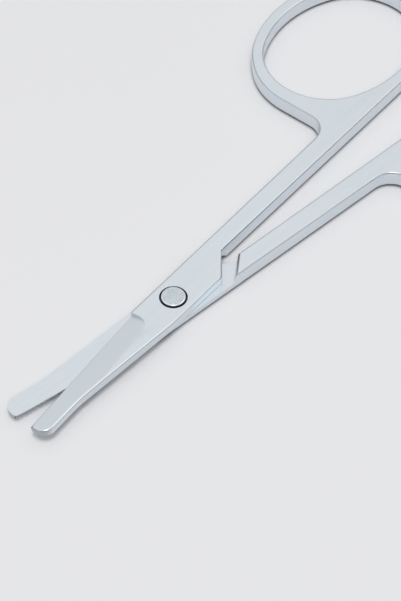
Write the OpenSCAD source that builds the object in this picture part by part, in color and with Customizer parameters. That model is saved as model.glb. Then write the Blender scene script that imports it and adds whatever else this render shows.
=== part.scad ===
// Small safety scissors with blunt, rounded tips and oval finger rings.
// Both halves are the same stamping. One is turned over, laid on the other and riveted to it.
// The origin is the pivot's centre on the face that the scissors lie on. +X points to the rings.

/* [Stock] */
// Thickness of the shanks and the finger rings
stock_t = 2.5; // [2:0.1:3.5]
// Air between the two plates that slide over each other
slide_gap = 0.04; // [0.02:0.01:0.1]

/* [Blades] */
// Pivot to the far end of a blade
tip_reach = 25.85; // [22:0.05:32]
// Width of a blade across its blunt tip
tip_w = 2.6; // [2.2:0.05:3.2]
// Radius of the tip's outer corner
tip_r = 1.55; // [1:0.05:1.8]
// Radius of the corner between the tip and the cutting edge
edge_r = 0.55; // [0.3:0.05:0.8]
// How far a cutting edge passes the centre line at the tip when shut
edge_overlap = 0.5; // [0.2:0.05:1]
// Pivot to the heel of the cutting edge
heel_x = 5.2; // [4:0.1:6.5]
// Pivot to the narrowest place of a blade, behind the tip
neck_x = 19.4; // [17:0.1:21]
// Centre line to the back of a blade at its narrowest place
neck_y = 1.72; // [1.3:0.02:2]
// Radius of the hollow where the back swings out to the tip
neck_r = 14; // [6:0.5:18]
// Width of the facet ground along the cutting edge, at its heel
grind_w = 3.05; // [2.6:0.05:3.4]
// Radius at the inner corner of the ground facet
grind_r = 1.7; // [0.5:0.05:2]
// Thickness that the facet leaves at the heel
heel_t = 0.64; // [0.6:0.02:0.8]
// Thickness that the facet leaves at the tip
tip_t = 0.56; // [0.4:0.02:0.6]
// Angle of the narrow bevel that makes the cutting edge, from the flat inner face
cut_angle = 68; // [60:1:78]
// Height of the blunt land left under that bevel
land_t = 0.06; // [0.04:0.01:0.1]
// Turn of both blades to one side, against the line of the shanks
blade_lean = 0.8; // [0:0.1:1.5]

/* [Joint] */
// Centre line to the back of the plate
back_y = 2.65; // [2.5:0.05:3.2]
// Pivot to where the back starts to narrow towards the tip
back_x = 3.8; // [2:0.1:6]
// Pivot to the start of the slanting end of the plate
stop_x = 9.95; // [9:0.05:11]
// Angle of the plate's slanting end from the centre line
stop_angle = 40; // [35:1:48]
// Radius of the corner between the slanting end and the back
stop_r = 1.2; // [0.6:0.1:1.6]
// Play between the slanting end and the shoulder, along the shank
shoulder_play = 1.2; // [1:0.05:2]
// Angle of the shoulder from the centre line
shoulder_angle = 41; // [36:1:48]
// How far the foot of the shoulder slopes out
shoulder_slope = 0.25; // [0.05:0.05:0.4]

/* [Shanks] */
// Gap between the two shanks when shut
shut_gap = 0.48; // [0.3:0.02:0.8]
// Centre line to the outer edge of a shank at the heel of the blade
heel_y = 2.66; // [2.4:0.02:3]
// Centre line to the outer edge of a shank at the finger ring
shank_y = 3.04; // [2.7:0.02:3.4]

/* [Finger rings] */
// Pivot to the centre of a finger hole
ring_x = 51.55; // [48:0.05:56]
// Length of a finger hole
hole_l = 25.1; // [23:0.1:26]
// Width of a finger hole
hole_w = 19.5; // [18.4:0.1:20]
// Radius of the ends of a finger hole
hole_end_r = 8.9; // [8.4:0.1:9]
// Width of the band round a finger hole
band_w = 1.68; // [1.4:0.02:2.2]
// How far the band is drawn out towards the shank
band_heel = 0.52; // [0.2:0.02:0.8]
// Radius of the hollow between a shank and its ring
fork_r = 3.1; // [2:0.1:4]

/* [Rivet] */
// Radius of the rivet's shank
rivet_r = 1; // [0.8:0.05:1.2]
// Radius of the rivet's flat head
head_r = 1.58; // [1.4:0.02:1.7]
// Radius of the recess that the head sits in
recess_r = 1.8; // [1.76:0.02:2.1]
// Depth of that recess
recess_h = 0.45; // [0.3:0.05:0.6]
// How far the head stands out of the recess
head_proud = 0.22; // [0.1:0.02:0.4]
// Width of the bevel round the head
head_bevel = 0.1; // [0.05:0.01:0.15]
// Clearance round the rivet in the half that turns on it
pin_fit = 0.03; // [0.02:0.01:0.06]
// Clearance of the rivet in the half that it is set in
set_fit = 0.01; // [0.01:0.01:0.03]
// Radius of the rivet's set end, flush in the face underneath
tail_r = 1.5; // [1.3:0.02:1.7]
// Depth of the countersink that it fills
tail_h = 0.4; // [0.25:0.05:0.6]
// Gap between the head and the floor of its recess
seat_gap = 0.02; // [0.01:0.01:0.05]

/* [Pose] */
// Angle between the halves, measured from shut
open_angle = 8.1; // [0:0.1:120]

/* [Hidden] */
$fn = 96;
corner_steps = 10;
// Overrun of every cut past the face that it opens
over = 1;
plate_t = (stock_t - slide_gap) / 2;
inner_y = shut_gap / 2;
stop_back_x = stop_x - (back_y + inner_y) / tan(stop_angle);
shoulder_x = stop_x + shoulder_play;
ring_y = inner_y + band_w + hole_w / 2;
ring_left = ring_x - hole_l / 2 - band_w - band_heel;
fork_c = [ring_left - fork_r, shank_y + fork_r];
tip_low = tip_w - edge_overlap;
inner_z = stock_t - plate_t;
grind_tilt = atan2(plate_t - heel_t, grind_w);
grind_len = grind_w / cos(grind_tilt);
recess_floor = stock_t - recess_h;
head_z = recess_floor + seat_gap;
head_top = stock_t + head_proud;

function unit(v) = v / norm(v);
function turned(p, a) = [p.x * cos(a) - p.y * sin(a), p.x * sin(a) + p.y * cos(a)];

// Points of an arc of radius r that rounds the corner b between a and c
function corner(a, b, c, r) =
    let (u = unit(a - b), w = unit(c - b), half = acos(u * w) / 2)
    let (centre = b + unit(u + w) * r / sin(half), from = b + u * r / tan(half) - centre)
    let (sweep = (180 - 2 * half) * sign(u.x * w.y - u.y * w.x) * -1)
    [for (i = [0 : corner_steps]) centre + turned(from, sweep * i / corner_steps)];

// Outline of one half from the tip to the ring, without the ring. The blade leans by the given angle.
function lever_points(lean) =
    let (edge_tip = turned([-tip_reach, edge_overlap], lean))
    let (end_low = turned([-tip_reach, -tip_low], lean))
    let (neck = turned([-neck_x, -neck_y], lean))
    let (heel = [-heel_x, heel_y], back = [-back_x, -back_y])
    let (stop_back = [stop_back_x, -back_y], stop = [stop_x, inner_y])
    concat(
        [[ring_x, inner_y], [ring_x, shank_y], [fork_c.x, shank_y], heel],
        corner(heel, edge_tip, end_low, edge_r),
        corner(edge_tip, end_low, neck, tip_r),
        corner(end_low, neck, back, neck_r),
        [back],
        corner(back, stop_back, stop, stop_r),
        [stop]
    );

// Oval of four arcs, with its long side along X
module oval(length, width, end_r) {
    shift = length / 2 - end_r;
    side_r = (shift ^ 2 + (width / 2) ^ 2 - end_r ^ 2) / (width - 2 * end_r);
    rise = side_r - width / 2;
    meet = shift * side_r / norm([shift, rise]);
    intersection() {
        translate([0, -rise]) circle(side_r);
        translate([0, rise]) circle(side_r);
        square([2 * meet, width], center = true);
    }
    for (side = [-1, 1]) translate([side * shift, 0]) circle(end_r);
}

// The whole outline of one half
module half_plan(lean) {
    band_end_r = hole_end_r + band_w;
    difference() {
        union() {
            polygon(lever_points(lean));
            translate([ring_x, ring_y]) oval(hole_l + 2 * band_w, hole_w + 2 * band_w, band_end_r);
            // The band's heel, drawn out towards the shank, and the hollow beside it
            translate([ring_left + band_end_r, ring_y - band_heel]) circle(band_end_r);
            translate([ring_left, inner_y + band_w])
                square([band_w, ring_y - band_heel - inner_y - band_w]);
            difference() {
                translate([fork_c.x, inner_y + band_w])
                    square([fork_r + band_end_r, fork_c.y - inner_y - band_w]);
                translate(fork_c) circle(fork_r);
            }
        }
        translate([ring_x, ring_y]) oval(hole_l, hole_w, hole_end_r);
    }
}

// Takes the inner face down from the tip to the shoulder, where only the plate is left
module plate_cut() {
    far = stop_x + tip_reach + over;
    translate([shoulder_x, inner_y])
        rotate([90, 0, 270 - shoulder_angle])
            linear_extrude(2 * far, center = true)
                polygon([[0, -over], [far, -over], [far, inner_z], [shoulder_slope, inner_z], [0, 0]]);
}

// Sets a cutter up at the heel of the cutting edge, with X along the edge and away from the tip
module at_edge(lean) {
    edge_tip = turned([-tip_reach, edge_overlap], lean);
    translate([-heel_x, heel_y, inner_z])
        rotate([0, 0, atan2(heel_y - edge_tip.y, -heel_x - edge_tip.x)])
            children();
}

// What the facet takes off the outer face. It lies deeper at the tip than at the heel.
module grind(lean) {
    run = tip_reach - heel_x + over;
    dip = atan2(heel_t - tip_t, tip_reach - heel_x);
    at_edge(lean) translate([0, 0, heel_t]) rotate([-grind_tilt, -dip, 0])
        linear_extrude(stock_t)
            difference() {
                translate([-run, -2 * grind_len]) square([run, 2 * grind_len + over]);
                translate([-grind_r, -2 * grind_len]) difference() {
                    square([grind_r + over, grind_len + grind_r]);
                    translate([0, grind_len + grind_r]) circle(grind_r);
                }
            }
}

// What the narrow bevel takes off, from the facet down to the land
module edge_bevel(lean) {
    run = tip_reach - heel_x + over;
    at_edge(lean) translate([-run, 0, land_t]) rotate([90, 0, 90])
        linear_extrude(run)
            polygon([[0, 0], [over, 0], [over, stock_t], [-stock_t / tan(cut_angle), stock_t]]);
}

// One half, outer face up, shut, before it is drilled
module lever(lean) {
    difference() {
        linear_extrude(stock_t) half_plan(lean);
        plate_cut();
        grind(lean);
        edge_bevel(lean);
    }
}

module upper_half() {
    color("lightsteelblue") rotate(open_angle / 2) difference() {
        lever(-blade_lean);
        translate([0, 0, inner_z - over]) cylinder(h = plate_t + 2 * over, r = rivet_r + pin_fit);
        translate([0, 0, recess_floor]) cylinder(h = recess_h + over, r = recess_r);
    }
}

module lower_half() {
    color("lightsteelblue") rotate(-open_angle / 2) difference() {
        translate([0, 0, stock_t]) rotate([180, 0, 0]) lever(blade_lean);
        translate([0, 0, -over]) cylinder(h = plate_t + 2 * over, r = rivet_r + set_fit);
        // The countersink
        rotate_extrude() polygon([
            [0, -over],
            [tail_r + set_fit, -over],
            [tail_r + set_fit, 0],
            [rivet_r + set_fit, tail_h],
            [0, tail_h]
        ]);
    }
}

module pivot_rivet() {
    color("gainsboro") rotate_extrude() polygon([
        [0, 0],
        [tail_r, 0],
        [rivet_r, tail_h],
        [rivet_r, head_z],
        [head_r, head_z],
        [head_r, head_top - head_bevel],
        [head_r - head_bevel, head_top],
        [0, head_top]
    ]);
}

lower_half();
upper_half();
pivot_rivet();
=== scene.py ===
import math

import bpy
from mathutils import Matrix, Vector


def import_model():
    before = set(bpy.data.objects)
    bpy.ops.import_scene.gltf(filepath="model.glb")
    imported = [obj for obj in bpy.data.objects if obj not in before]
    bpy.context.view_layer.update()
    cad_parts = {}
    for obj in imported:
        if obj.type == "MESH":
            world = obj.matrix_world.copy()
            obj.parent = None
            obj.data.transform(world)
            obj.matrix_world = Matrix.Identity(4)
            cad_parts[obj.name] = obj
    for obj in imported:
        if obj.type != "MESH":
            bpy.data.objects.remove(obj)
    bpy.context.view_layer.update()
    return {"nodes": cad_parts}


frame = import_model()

MM = 0.001


def direction(azimuth, elevation):
    """Unit vector towards a point of the sky, from its azimuth and elevation in radians."""
    level = math.cos(elevation)
    return Vector((math.cos(azimuth) * level, math.sin(azimuth) * level, math.sin(elevation)))


# ---------------------------------------------------------------- camera
# The photograph's view was fitted from the straight edges of the shanks, the rivet
# and the heights of the walls.
VIEW_AZIMUTH = math.radians(46.73)      # the scissors' X axis against the picture's right, from above
VIEW_ELEVATION = math.radians(50.75)
VIEW_DISTANCE = 229.6 * MM
AIM = Vector((3.412, -1.474, 0.0)) * MM
SENSOR_MM = 36.0
FOCAL_PX = 1800.0
FRAME_PX = 401.0


def add_camera():
    back = direction(-math.pi / 2 - VIEW_AZIMUTH, VIEW_ELEVATION)
    cam = bpy.data.cameras.new("camera")
    cam.sensor_fit = "HORIZONTAL"
    cam.sensor_width = SENSOR_MM
    cam.lens = SENSOR_MM * FOCAL_PX / FRAME_PX
    cam.clip_start = 0.01
    cam.clip_end = 10.0
    ob = bpy.data.objects.new("camera", cam)
    bpy.context.scene.collection.objects.link(ob)
    ob.location = AIM + back * VIEW_DISTANCE
    ob.rotation_euler = (-back).to_track_quat("-Z", "Y").to_euler()
    bpy.context.scene.camera = ob


# ---------------------------------------------------------------- node helpers
class Nodes:
    """Adds and links the nodes of a shader."""

    def __init__(self, tree):
        self.tree = tree
        tree.nodes.clear()

    def add(self, kind, inputs=None, **props):
        n = self.tree.nodes.new(kind)
        for k, v in props.items():
            setattr(n, k, v)
        for k, v in (inputs or {}).items():
            self.put(n.inputs[k], v)
        return n

    def put(self, socket, v):
        if isinstance(v, bpy.types.NodeSocket):
            self.tree.links.new(v, socket)
        else:
            socket.default_value = v

    def math(self, op, a, b=0.0, clamp=False):
        return self.add("ShaderNodeMath", {0: a, 1: b}, operation=op, use_clamp=clamp).outputs[0]

    def times(self, a, b):
        return self.math("MULTIPLY", a, b)

    def plus(self, a, b):
        return self.math("ADD", a, b)

    def less(self, a):
        """1 - a"""
        return self.math("SUBTRACT", 1.0, a)

    def band(self, v, lo, hi):
        """0 below lo, 1 above hi, smooth between."""
        n = self.add("ShaderNodeMapRange", {"Value": v, "From Min": lo, "From Max": hi},
                     interpolation_type="SMOOTHSTEP")
        return n.outputs["Result"]

    def noise(self, vec, scale, detail=2.0, rough=0.5):
        n = self.add("ShaderNodeTexNoise", {"Vector": vec, "Scale": scale, "Detail": detail,
                                            "Roughness": rough})
        return n.outputs["Fac"]

    def stretch(self, vec, scale, angle=0.0):
        n = self.add("ShaderNodeMapping", {"Vector": vec, "Rotation": (0, 0, angle), "Scale": scale})
        return n.outputs["Vector"]

    def split(self, vec):
        return self.add("ShaderNodeSeparateXYZ", {"Vector": vec}).outputs

    def mix(self, fac, a, b):
        n = self.add("ShaderNodeMix", data_type="RGBA")
        self.put(n.inputs[0], fac)
        self.put(n.inputs[6], a)
        self.put(n.inputs[7], b)
        return n.outputs[2]

    def face_normal(self):
        return self.add("ShaderNodeNewGeometry").outputs["True Normal"]

    def metal(self, colour, rough, height, strength, depth):
        bump = self.add("ShaderNodeBump", {"Height": height, "Strength": strength, "Distance": depth})
        b = self.add("ShaderNodeBsdfPrincipled", {"Base Color": colour, "Metallic": 1.0,
                                                  "Roughness": rough, "Normal": bump.outputs[0]})
        self.add("ShaderNodeOutputMaterial", {"Surface": b.outputs[0]})


def material(name):
    m = bpy.data.materials.new(name)
    m.use_nodes = True
    return m, Nodes(m.node_tree)


# ---------------------------------------------------------------- steel
STEEL = (0.73, 0.78, 0.82, 1.0)
STEEL_DEEP = (0.70, 0.75, 0.79, 1.0)
STEEL_GROUND = (0.745, 0.80, 0.845, 1.0)
# painted shade in the gap round the rivet's head
STEEL_GAP_SHADE = (0.05, 0.055, 0.06, 1.0)
# painted shade on the walls round the tips
STEEL_TIP_SHADE = (0.44, 0.47, 0.49, 1.0)
RIVET_LIGHT = (0.73, 0.79, 0.82, 1.0)
RIVET_DEEP = (0.55, 0.615, 0.65, 1.0)
# painted highlight on the rivet head's rim
RIVET_RIM_HIGHLIGHT = (0.93, 0.95, 0.96, 1.0)

REST_TURN = math.radians(4.05)          # of each half's shank from the X axis, as the scissors lie
FACET_BEGIN = (0.965, 0.975)            # heights of the normal between which a face counts as facet
FACET_END = (0.988, 0.994)
FACET_HEEL = (-5.4 * MM, -5.0 * MM)
GRAIN = (120.0, 2600.0, 2600.0)
GRINDING = (2400.0, 150.0, 150.0)
GRINDING_TURN = math.radians(8.0)
CLOUDS = 160.0
LINE_SHARE, CLOUD_SHARE = 0.6, 0.4      # of the tone
STEEL_TONES = (0.30, 0.70)
STEEL_BUMP = (0.06, 0.02 * MM)          # strength and depth
GAP_RADIUS = 1.83 * MM
GAP_FLOOR = 1.0 * MM
GAP_TOP = 2.46 * MM
END_RADIUS = (24.4 * MM, 25.5 * MM)
SIDE_TILT = (0.35, 0.75)
SATIN = 0.26                            # roughness, and how much the clouds and the facet add
SATIN_CLOUDS = 0.04
SATIN_FACET = 0.08
RIVET_GRAIN = 5200.0
RIVET_PATCHES = 700.0
RIVET_GRAIN_SHARE, RIVET_PATCH_SHARE = 0.7, 0.3
RIVET_TONES = (0.38, 0.62)
RIVET_BUMP = (0.25, 0.03 * MM)
RIVET_RIM_TILT = (0.985, 0.995)
RIVET_SATIN = 0.34
RIVET_CLOUDS = 0.1
RIVET_POLISH = 0.20


def half_steel(name, turn, flip):
    """Satin steel of one half. turn lines the grain up with its shank, and flip is -1 for the
    half that is turned over."""
    m, n = material(name)
    co = n.add("ShaderNodeTexCoord").outputs["Object"]
    own = n.stretch(co, (1.0, 1.0, 1.0), -turn)
    along = n.split(own)["X"]
    px, py, pz = n.split(co)
    normal_z = n.split(n.face_normal())["Z"]
    from_axis = n.math("SQRT", n.plus(n.times(px, px), n.times(py, py)))
    # The ground facet is past the heel of the cutting edge and tilted off the flat face
    up = n.times(normal_z, float(flip))
    tilted = n.times(n.band(up, *FACET_BEGIN), n.less(n.band(up, *FACET_END)))
    facet = n.math("MULTIPLY", tilted, n.less(n.band(along, *FACET_HEEL)), clamp=True)
    # Soft brushed streaks run along the half, and grinding lines across the facet
    grain = n.noise(n.stretch(own, GRAIN), 1.0)
    across = n.noise(n.stretch(own, GRINDING, GRINDING_TURN), 1.0)
    cloud = n.noise(own, CLOUDS)
    lines = n.mix(facet, grain, across)
    tone = n.plus(n.times(lines, LINE_SHARE), n.times(cloud, CLOUD_SHARE))
    colour = n.mix(n.band(tone, *STEEL_TONES), STEEL_DEEP, STEEL)
    colour = n.mix(facet, colour, STEEL_GROUND)
    # Painted shade: the narrow gap round the rivet's head is coloured near black, as hardly any light
    # comes back out of it
    deep = n.times(n.math("LESS_THAN", pz, GAP_TOP), n.math("GREATER_THAN", pz, GAP_FLOOR))
    shaded_gap = n.times(n.math("LESS_THAN", from_axis, GAP_RADIUS), deep)
    colour = n.mix(shaded_gap, colour, STEEL_GAP_SHADE)
    # Painted shade: the walls round the tips are coloured darker, standing in for the dark they
    # mirror
    side = n.less(n.band(n.math("ABSOLUTE", normal_z), *SIDE_TILT))
    end = n.times(n.band(from_axis, *END_RADIUS), n.math("LESS_THAN", along, 0.0))
    colour = n.mix(n.times(side, end), colour, STEEL_TIP_SHADE)
    rough = n.plus(n.plus(SATIN, n.times(cloud, SATIN_CLOUDS)), n.times(facet, SATIN_FACET))
    n.metal(colour, rough, lines, *STEEL_BUMP)
    return m


def rivet_steel():
    m, n = material("rivet_steel")
    co = n.add("ShaderNodeTexCoord").outputs["Object"]
    fine = n.noise(co, RIVET_GRAIN, 3.0, 0.65)
    cloud = n.noise(co, RIVET_PATCHES)
    tone = n.plus(n.times(fine, RIVET_GRAIN_SHARE), n.times(cloud, RIVET_PATCH_SHARE))
    colour = n.mix(n.band(tone, *RIVET_TONES), RIVET_DEEP, RIVET_LIGHT)
    # Painted highlight: the head's rim is coloured brighter to stand in for its glint, and it is also
    # made smoother
    rim = n.less(n.band(n.split(n.face_normal())["Z"], *RIVET_RIM_TILT))
    colour = n.mix(rim, colour, RIVET_RIM_HIGHLIGHT)
    rough = n.plus(RIVET_SATIN, n.times(cloud, RIVET_CLOUDS))
    rough = n.math("SUBTRACT", rough, n.times(rim, RIVET_POLISH))
    n.metal(colour, rough, fine, *RIVET_BUMP)
    return m


# ---------------------------------------------------------------- softened edges
# The roundings are in millimetres
ROUND_TOP = 0.28
ROUND_BLADE = 0.08          # more on the blades' backs than on the rest of the top
ROUND_UNDER = 0.50
ROUND_TIP = 0.32
ROUND_RECESS = 0.05
ROUND_GROUND = 0.06
ROUND_RIVET = 0.07
NO_LIMIT = 0.6

JOIN_WITHIN = 0.04 * MM
LEVEL_TILT = 0.9            # a face is level when its normal's height is over this
WALL_TILT = 0.3             # and a wall when it is under this
LAP_HEIGHT = 1.25 * MM
RECESS_RADIUS = 1.8 * MM
JOINT_RADIUS = 2.3 * MM     # the rivet's recess and bore are within it
HEEL_RADIUS = 6.4 * MM      # of the step where the facet begins
TIP_START, TIP_FULL = 24.3 * MM, 25.4 * MM
BLADE_X = -4.5 * MM
GROUND_X = -8.5 * MM
FLAT_WITHIN = math.radians(0.3)
CONVEX_OVER = math.radians(40)
SHARP_OVER = math.radians(28)
WALL_CORNER = math.radians(35)
FACE_CREASE = math.radians(10)
SEGMENTS = 4


class Geometry:
    """Adds and links the nodes of a geometry group with one mesh in and one mesh out."""

    def __init__(self, name):
        self.tree = bpy.data.node_groups.new(name, "GeometryNodeTree")
        for side in ("INPUT", "OUTPUT"):
            self.tree.interface.new_socket("Geometry", in_out=side, socket_type="NodeSocketGeometry")
        self.mesh = self.tree.nodes.new("NodeGroupInput").outputs[0]
        self.out = self.tree.nodes.new("NodeGroupOutput")

    def add(self, kind, inputs=None, **props):
        n = self.tree.nodes.new(kind)
        for k, v in props.items():
            setattr(n, k, v)
        for k, v in (inputs or {}).items():
            if isinstance(v, bpy.types.NodeSocket):
                self.tree.links.new(v, n.inputs[k])
            else:
                n.inputs[k].default_value = v
        return n

    def math(self, op, a, b=0.0):
        return self.add("ShaderNodeMath", {0: a, 1: b}, operation=op).outputs[0]

    def times(self, a, b):
        return self.math("MULTIPLY", a, b)

    def less(self, a):
        """1 - a"""
        return self.math("SUBTRACT", 1.0, a)

    def over(self, a, b):
        return self.math("GREATER_THAN", a, b)

    def under(self, a, b):
        return self.math("LESS_THAN", a, b)

    def near(self, a, b, span):
        """1 where a is within span of b, else 0."""
        return self.under(self.math("ABSOLUTE", self.math("SUBTRACT", a, b)), span)

    def ramp(self, v, lo, hi, a, b):
        n = self.add("ShaderNodeMapRange", {"Value": v, "From Min": lo, "From Max": hi,
                                            "To Min": a, "To Max": b})
        return n.outputs["Result"]

    def on(self, v, domain):
        return self.add("GeometryNodeFieldOnDomain", {0: v}, domain=domain).outputs[0]

    def position(self):
        at = self.add("GeometryNodeInputPosition").outputs[0]
        return self.add("ShaderNodeSeparateXYZ", {0: at}).outputs

    def normal_z(self):
        normal = self.add("GeometryNodeInputNormal").outputs[0]
        return self.add("ShaderNodeSeparateXYZ", {0: normal}).outputs["Z"]

    def edge_angle(self, kind):
        return self.add("GeometryNodeInputMeshEdgeAngle").outputs[kind]

    def step(self, kind, inputs=None, **props):
        """Adds a node that changes the mesh."""
        self.mesh = self.add(kind, {"Geometry": self.mesh, **(inputs or {})}, **props).outputs[0]

    def finish(self):
        self.tree.links.new(self.mesh, self.out.inputs[0])
        return self.tree


def join_group():
    """Joins split corners and drops stored normals, so that the bevel sees one clean surface."""
    g = Geometry("join_corners")
    g.step("GeometryNodeMergeByDistance", {"Distance": JOIN_WITHIN})
    for name in ("custom_normal", "sharp_edge", "sharp_face"):
        g.step("GeometryNodeRemoveAttribute", {"Name": name})
    return g.finish()


def weight_group():
    """Weights for the bevel, in millimetres. Edges between a level face and a wall are rounded,
    more so underneath, and the facet's corner with the cutting bevel a little. The lap and the
    heel's step stay crisp."""
    g = Geometry("edge_weights")
    x, y, z = g.position()
    radius = g.math("SQRT", g.math("ADD", g.times(x, x), g.times(y, y)))
    up = g.normal_z()
    tilt = g.math("ABSOLUTE", up)
    # Averaged over an edge's two faces, both come to a half where one is level and the other a wall
    level = g.on(g.over(tilt, LEVEL_TILT), "FACE")
    wall = g.on(g.under(tilt, WALL_TILT), "FACE")
    half_level = g.near(level, 0.5, 0.1)
    rim = g.times(half_level, g.near(wall, 0.5, 0.1))
    convex = g.over(g.edge_angle("Signed Angle"), CONVEX_OVER)
    blades = g.under(x, 0.0)
    lap = g.near(z, LAP_HEIGHT, 0.1 * MM)
    heel = g.times(blades, g.near(radius, HEEL_RADIUS, 1.5 * MM))
    outside = g.times(g.over(radius, JOINT_RADIUS), g.less(g.math("MAXIMUM", lap, heel)))
    # How large each rounding is
    top = g.math("ADD", g.times(g.under(x, BLADE_X), ROUND_BLADE), ROUND_TOP)
    size = g.ramp(g.on(up, "FACE"), -0.1, 0.1, ROUND_UNDER, top)
    tip = g.times(g.ramp(radius, TIP_START, TIP_FULL, 0.0, 1.0), blades)
    size = g.math("MINIMUM", size, g.ramp(tip, 0.0, 1.0, NO_LIMIT, ROUND_TIP))
    recess = g.times(g.near(radius, RECESS_RADIUS, 0.05 * MM), ROUND_RECESS)
    w = g.times(g.math("ADD", g.times(outside, size), recess), rim)
    # The worn corner where the facet meets the cutting bevel
    ground = g.times(half_level, g.under(wall, 0.1))
    ground = g.times(ground, g.times(g.under(x, GROUND_X), g.less(lap)))
    w = g.times(g.math("ADD", w, g.times(ground, ROUND_GROUND)), convex)
    g.step("GeometryNodeStoreNamedAttribute", {"Name": "bevel_weight_edge", "Value": w},
           data_type="FLOAT", domain="EDGE")
    return g.finish()


def smooth_group():
    """Smooth shading, but for steep corners of the walls and the slight crease round a facet."""
    g = Geometry("smooth_by_angle")
    angle = g.edge_angle("Unsigned Angle")
    level = g.over(g.math("ABSOLUTE", g.on(g.normal_z(), "EDGE")), LEVEL_TILT)
    sharp = g.math("MAXIMUM", g.over(angle, WALL_CORNER), g.times(g.over(angle, FACE_CREASE), level))
    g.step("GeometryNodeSetShadeSmooth", domain="FACE")
    g.step("GeometryNodeSetShadeSmooth", {"Selection": g.over(sharp, 0.5), "Shade Smooth": False},
           domain="EDGE")
    return g.finish()


JOIN = join_group()
WEIGHTS = weight_group()
SMOOTH = smooth_group()


def soften(ob, width, weights):
    """Rounds the edges by their weights, or where there are none, all sharp ones."""
    def modifier(name, kind, **props):
        m = ob.modifiers.new(name, kind)
        for k, v in props.items():
            setattr(m, k, v)

    modifier("join", "NODES", node_group=JOIN)
    modifier("flat", "DECIMATE", decimate_type="DISSOLVE", angle_limit=FLAT_WITHIN)
    if weights:
        modifier("weights", "NODES", node_group=weights)
    modifier("edge", "BEVEL", limit_method="WEIGHT" if weights else "ANGLE",
             angle_limit=SHARP_OVER, width=width, segments=SEGMENTS,
             use_clamp_overlap=False, harden_normals=False)
    modifier("smooth", "NODES", node_group=SMOOTH)
    modifier("level", "WEIGHTED_NORMAL", mode="FACE_AREA", weight=100, keep_sharp=True)


def dress(node, mat, width, weights=None):
    ob = frame["nodes"][node]
    for slot in ob.material_slots:
        slot.material = mat
    soften(ob, width, weights)


# ---------------------------------------------------------------- floor and light
FLOOR_HALF = 1.5
FLOOR_HEIGHT = -0.16 * MM
PAPER = (0.815, 0.812, 0.824, 1.0)
# painted contact shadow on the paper
PAPER_CONTACT_SHADOW = (0.36, 0.36, 0.37, 1.0)
CONTACT_REACH = 0.75 * MM

CAMERA_SIDE = math.radians(223.0)       # the azimuth at which the camera stands
MIRRORED = ((0.0, 0.26), (0.30, 0.40), (0.58, 0.88), (0.77, 0.975), (0.92, 0.94), (1.0, 0.70))
MIRRORED_TINT = (0.985, 0.992, 1.0)
# Patches that the steel mirrors: azimuth, elevation, the cosines over which each fades in, colour.
# Each covers the ones before it: a soft light to the right of the camera, the dark room behind the
# camera, and a softbox above it.
PATCHES = (
    (math.radians(-36.0), math.radians(46.0), 0.92, 0.985, (1.42, 1.435, 1.45, 1.0)),
    (CAMERA_SIDE, math.radians(15.0), 0.5, 0.9, (0.30, 0.305, 0.31, 1.0)),
    (CAMERA_SIDE, math.radians(62.0), 0.955, 0.985, (2.8, 2.8, 2.8, 1.0)),
)
SKY_LOW = (0.08, 0.081, 0.083, 1.0)
SKY_HIGH = (0.74, 0.75, 0.76, 1.0)
SEEN = (0.80, 0.81, 0.825, 1.0)
LAMP_DISTANCE = 1.6


def floor():
    mesh = bpy.data.meshes.new("floor")
    s, z = FLOOR_HALF, FLOOR_HEIGHT
    mesh.from_pydata([(-s, -s, z), (s, -s, z), (s, s, z), (-s, s, z)], [], [(0, 1, 2, 3)])
    ob = bpy.data.objects.new("floor", mesh)
    bpy.context.scene.collection.objects.link(ob)
    m, n = material("paper")
    # Painted shadow: the paper is coloured darker where it is occluded, a dark line of contact where
    # the steel almost touches it
    open_sky = n.add("ShaderNodeAmbientOcclusion", {"Distance": CONTACT_REACH}, samples=8)
    colour = n.mix(n.band(open_sky.outputs["AO"], 0.15, 0.80), PAPER_CONTACT_SHADOW, PAPER)
    b = n.add("ShaderNodeBsdfPrincipled", {"Base Color": colour, "Roughness": 0.9,
                                           "Specular IOR Level": 0.2})
    n.add("ShaderNodeOutputMaterial", {"Surface": b.outputs[0]})
    mesh.materials.append(m)


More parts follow.
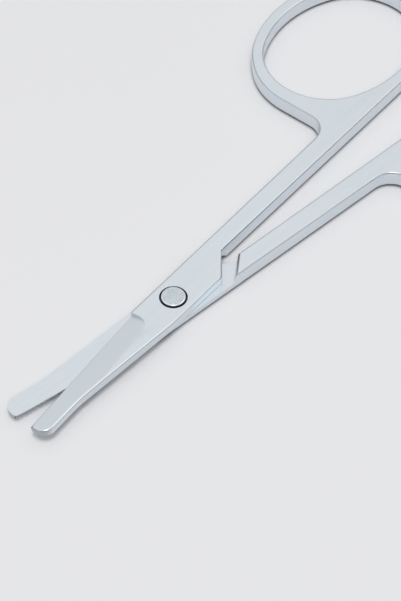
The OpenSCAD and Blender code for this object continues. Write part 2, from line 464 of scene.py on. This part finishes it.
def world():
    w = bpy.data.worlds.new("studio")
    bpy.context.scene.world = w
    w.use_nodes = True
    n = Nodes(w.node_tree)
    path = n.add("ShaderNodeLightPath")
    co = n.add("ShaderNodeTexCoord").outputs["Generated"]
    z = n.split(co)["Z"]
    # What the steel mirrors: dark round the horizon and pale higher up, with the patches on top
    rise = n.add("ShaderNodeValToRGB", {"Fac": z})
    ramp = rise.color_ramp
    while len(ramp.elements) < len(MIRRORED):
        ramp.elements.new(0.5)
    for stop, (at, level) in zip(ramp.elements, MIRRORED):
        stop.position = at
        stop.color = (*(level * c for c in MIRRORED_TINT), 1)
    shine = rise.outputs["Color"]
    for azimuth, elevation, lo, hi, colour in PATCHES:
        facing = n.add("ShaderNodeVectorMath", {0: co, 1: direction(azimuth, elevation)},
                       operation="DOT_PRODUCT").outputs["Value"]
        shine = n.mix(n.band(facing, lo, hi), shine, colour)
    sky = n.mix(n.band(z, 0.1, 1.0), SKY_LOW, SKY_HIGH)
    diffuse, glossy, seen = (n.add("ShaderNodeBackground", {"Color": c, "Strength": 1.0}).outputs[0]
                             for c in (sky, shine, SEEN))
    is_glossy, is_camera = path.outputs["Is Glossy Ray"], path.outputs["Is Camera Ray"]
    light = n.add("ShaderNodeMixShader", {0: is_glossy, 1: diffuse, 2: glossy}).outputs[0]
    light = n.add("ShaderNodeMixShader", {0: is_camera, 1: light, 2: seen}).outputs[0]
    n.add("ShaderNodeOutputWorld", {"Surface": light})


def lamp(name, elevation, size, watts):
    """A round lamp on the camera's side. The steel mirrors the world's patches in its place."""
    d = bpy.data.lights.new(name, "AREA")
    d.shape = "DISK"
    d.size = size
    d.energy = watts
    ob = bpy.data.objects.new(name, d)
    bpy.context.scene.collection.objects.link(ob)
    ob.location = direction(CAMERA_SIDE, math.radians(elevation)) * LAMP_DISTANCE
    ob.rotation_euler = ob.location.to_track_quat("Z", "Y").to_euler()
    ob.visible_glossy = False


add_camera()
dress("upper_half", half_steel("upper_steel", REST_TURN, 1), MM, WEIGHTS)
dress("lower_half", half_steel("lower_steel", -REST_TURN, -1), MM, WEIGHTS)
dress("pivot_rivet", rivet_steel(), ROUND_RIVET * MM)
floor()
world()
lamp("key", 78.0, 0.65, 10.1)
lamp("front", 50.0, 0.8, 2.5)

bpy.context.scene.view_settings.view_transform = "Standard"
